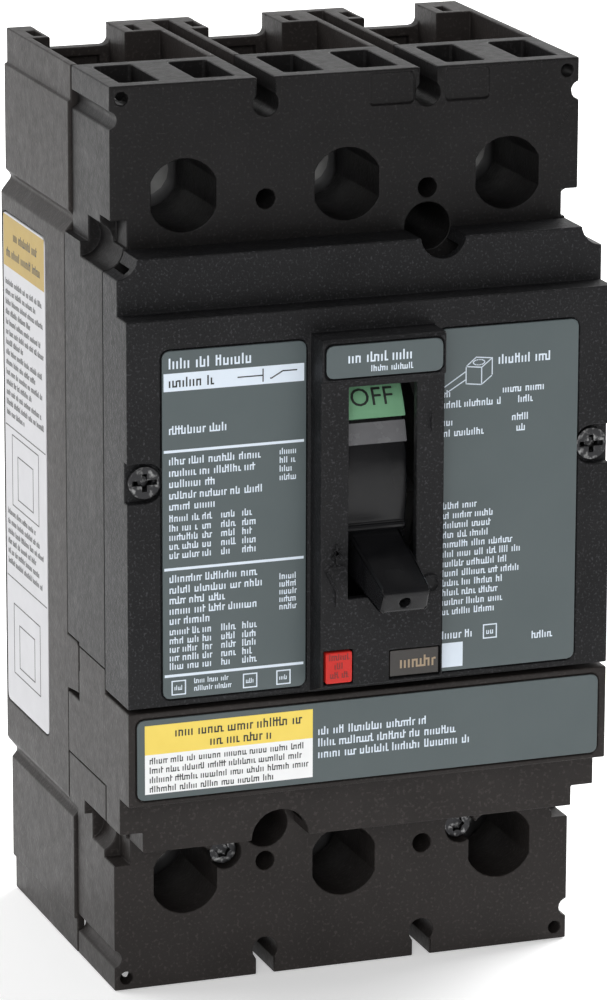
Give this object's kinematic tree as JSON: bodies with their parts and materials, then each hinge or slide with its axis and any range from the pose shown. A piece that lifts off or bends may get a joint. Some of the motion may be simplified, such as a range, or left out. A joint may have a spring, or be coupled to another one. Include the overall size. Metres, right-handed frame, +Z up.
{
  "type": "molded case breaker",
  "caption": "Panel circuit breaker in a moulded case: cable lugs at both ends, toggle handle with position flag, and a push-to-trip button.",
  "frame": {"origin": "centre of the standing footprint, at the load end's lowest plane", "axes": "+Z up from the load end to the line end; the front with the handle faces -Y, the mounting plane faces +Y; +X is to the right seen from the front"},
  "size_m": [0.1046, 0.1062, 0.191],
  "materials": {
    "phenolic_black": "moulded thermoset, satin, brownish black",
    "cover_black": "moulded thermoset, smooth satin black",
    "grained_black": "spark-eroded grain, black",
    "label_grey": "printed film, blue-grey",
    "label_white": "printed film, white and yellow",
    "button_red": "moulded red",
    "flag_green": "printed green",
    "handle_black": "moulded, semi-gloss black",
    "insert_brown": "moulded insert with tan print",
    "zinc_steel": "zinc-plated steel",
    "black_oxide": "blackened steel",
    "copper": "bare copper",
    "lug_aluminium": "tin-plated extruded aluminium",
    "rotor_plastic": "glass-filled polyester, tan",
    "arc_chute_steel": "steel splitter plates in fibre boards"
  },
  "bodies": {
    "case": {"accessory_cover": "grained_black", "accessory_cover_screw_left": "black_oxide", "accessory_cover_screw_right": "black_oxide", "arc_chute_center": "arc_chute_steel", "arc_chute_left": "arc_chute_steel", "arc_chute_right": "arc_chute_steel", "base_case": "phenolic_black", "handle_pivot_pin": "zinc_steel", "left_rating_label": "label_grey", "line_lug_center": "lug_aluminium", "line_lug_left": "lug_aluminium", "line_lug_right": "lug_aluminium", "line_lug_screw_center": "zinc_steel", "line_lug_screw_left": "zinc_steel", "line_lug_screw_right": "zinc_steel", "line_strap_center": "copper", "line_strap_left": "copper", "line_strap_right": "copper", "load_lug_center": "lug_aluminium", "load_lug_left": "lug_aluminium", "load_lug_right": "lug_aluminium", "load_lug_screw_center": "zinc_steel", "load_lug_screw_left": "zinc_steel", "load_lug_screw_right": "zinc_steel", "load_strap_center": "copper", "load_strap_left": "copper", "load_strap_right": "copper", "load_terminal_block": "phenolic_black", "magnet_yoke_center": "zinc_steel", "magnet_yoke_left": "zinc_steel", "magnet_yoke_right": "zinc_steel", "main_cover": "cover_black", "mechanism_plate_left": "zinc_steel", "mechanism_plate_right": "zinc_steel", "nose_label": "label_grey", "rating_insert": "insert_brown", "right_rating_label": "label_grey", "side_label": "label_white", "terminal_block_screw_left": "black_oxide", "terminal_block_screw_right": "black_oxide", "trip_button_spring": "zinc_steel", "trip_cover_label": "label_grey", "trip_unit_cover": "phenolic_black"},
    "handle": {"toggle_handle": "handle_black", "off_flag": "flag_green", "on_flag": "label_white", "handle_yoke": "zinc_steel", "knee_pin": "zinc_steel", "main_spring_left": "zinc_steel", "main_spring_right": "zinc_steel"},
    "crossbar": {"contact_rotor": "rotor_plastic", "moving_contact_left": "copper", "moving_contact_center": "copper", "moving_contact_right": "copper"},
    "drive_links": {"drive_link_left": "zinc_steel", "drive_link_right": "zinc_steel"},
    "trip_button": {"trip_button": "button_red"},
    "trip_bar": {"trip_bar": "cover_black"}
  },
  "joints": [
    {"name": "handle_turn", "type": "hinge", "parent": "case", "child": "handle", "pos_m": [0, 0.00108, 0.109], "axis": [-1, 0, 0], "range_deg": [0, 42]},
    {"name": "crossbar_turn", "type": "hinge", "parent": "case", "child": "crossbar", "pos_m": [0, 0.02608, 0.095], "axis": [-1, 0, 0], "range_deg": [0, 42]},
    {"name": "drive_link_turn", "type": "hinge", "parent": "handle", "child": "drive_links", "pos_m": [0, -0.00021, 0.10009], "axis": [-1, 0, 0], "range_deg": [-42, 0]},
    {"name": "trip_button_push", "type": "slide", "parent": "case", "child": "trip_button", "axis": [0, 1, 0], "range_m": [0, 0.0025], "stiffness_N_per_m": 400, "springref_m": -0.001, "deforming": ["trip_button_spring"]},
    {"name": "trip_bar_turn", "type": "hinge", "parent": "case", "child": "trip_bar", "pos_m": [0, 0.00258, 0.0495], "axis": [-1, 0, 0], "range_deg": [0, 6.36]}
  ],
  "couplings": [
    {"joint": "crossbar_turn", "follows": "handle_turn", "ratio": 1},
    {"joint": "drive_link_turn", "follows": "handle_turn", "ratio": -1},
    {"joint": "trip_bar_turn", "follows": "trip_button_push", "rad_per_m": 44.053}
  ]
}
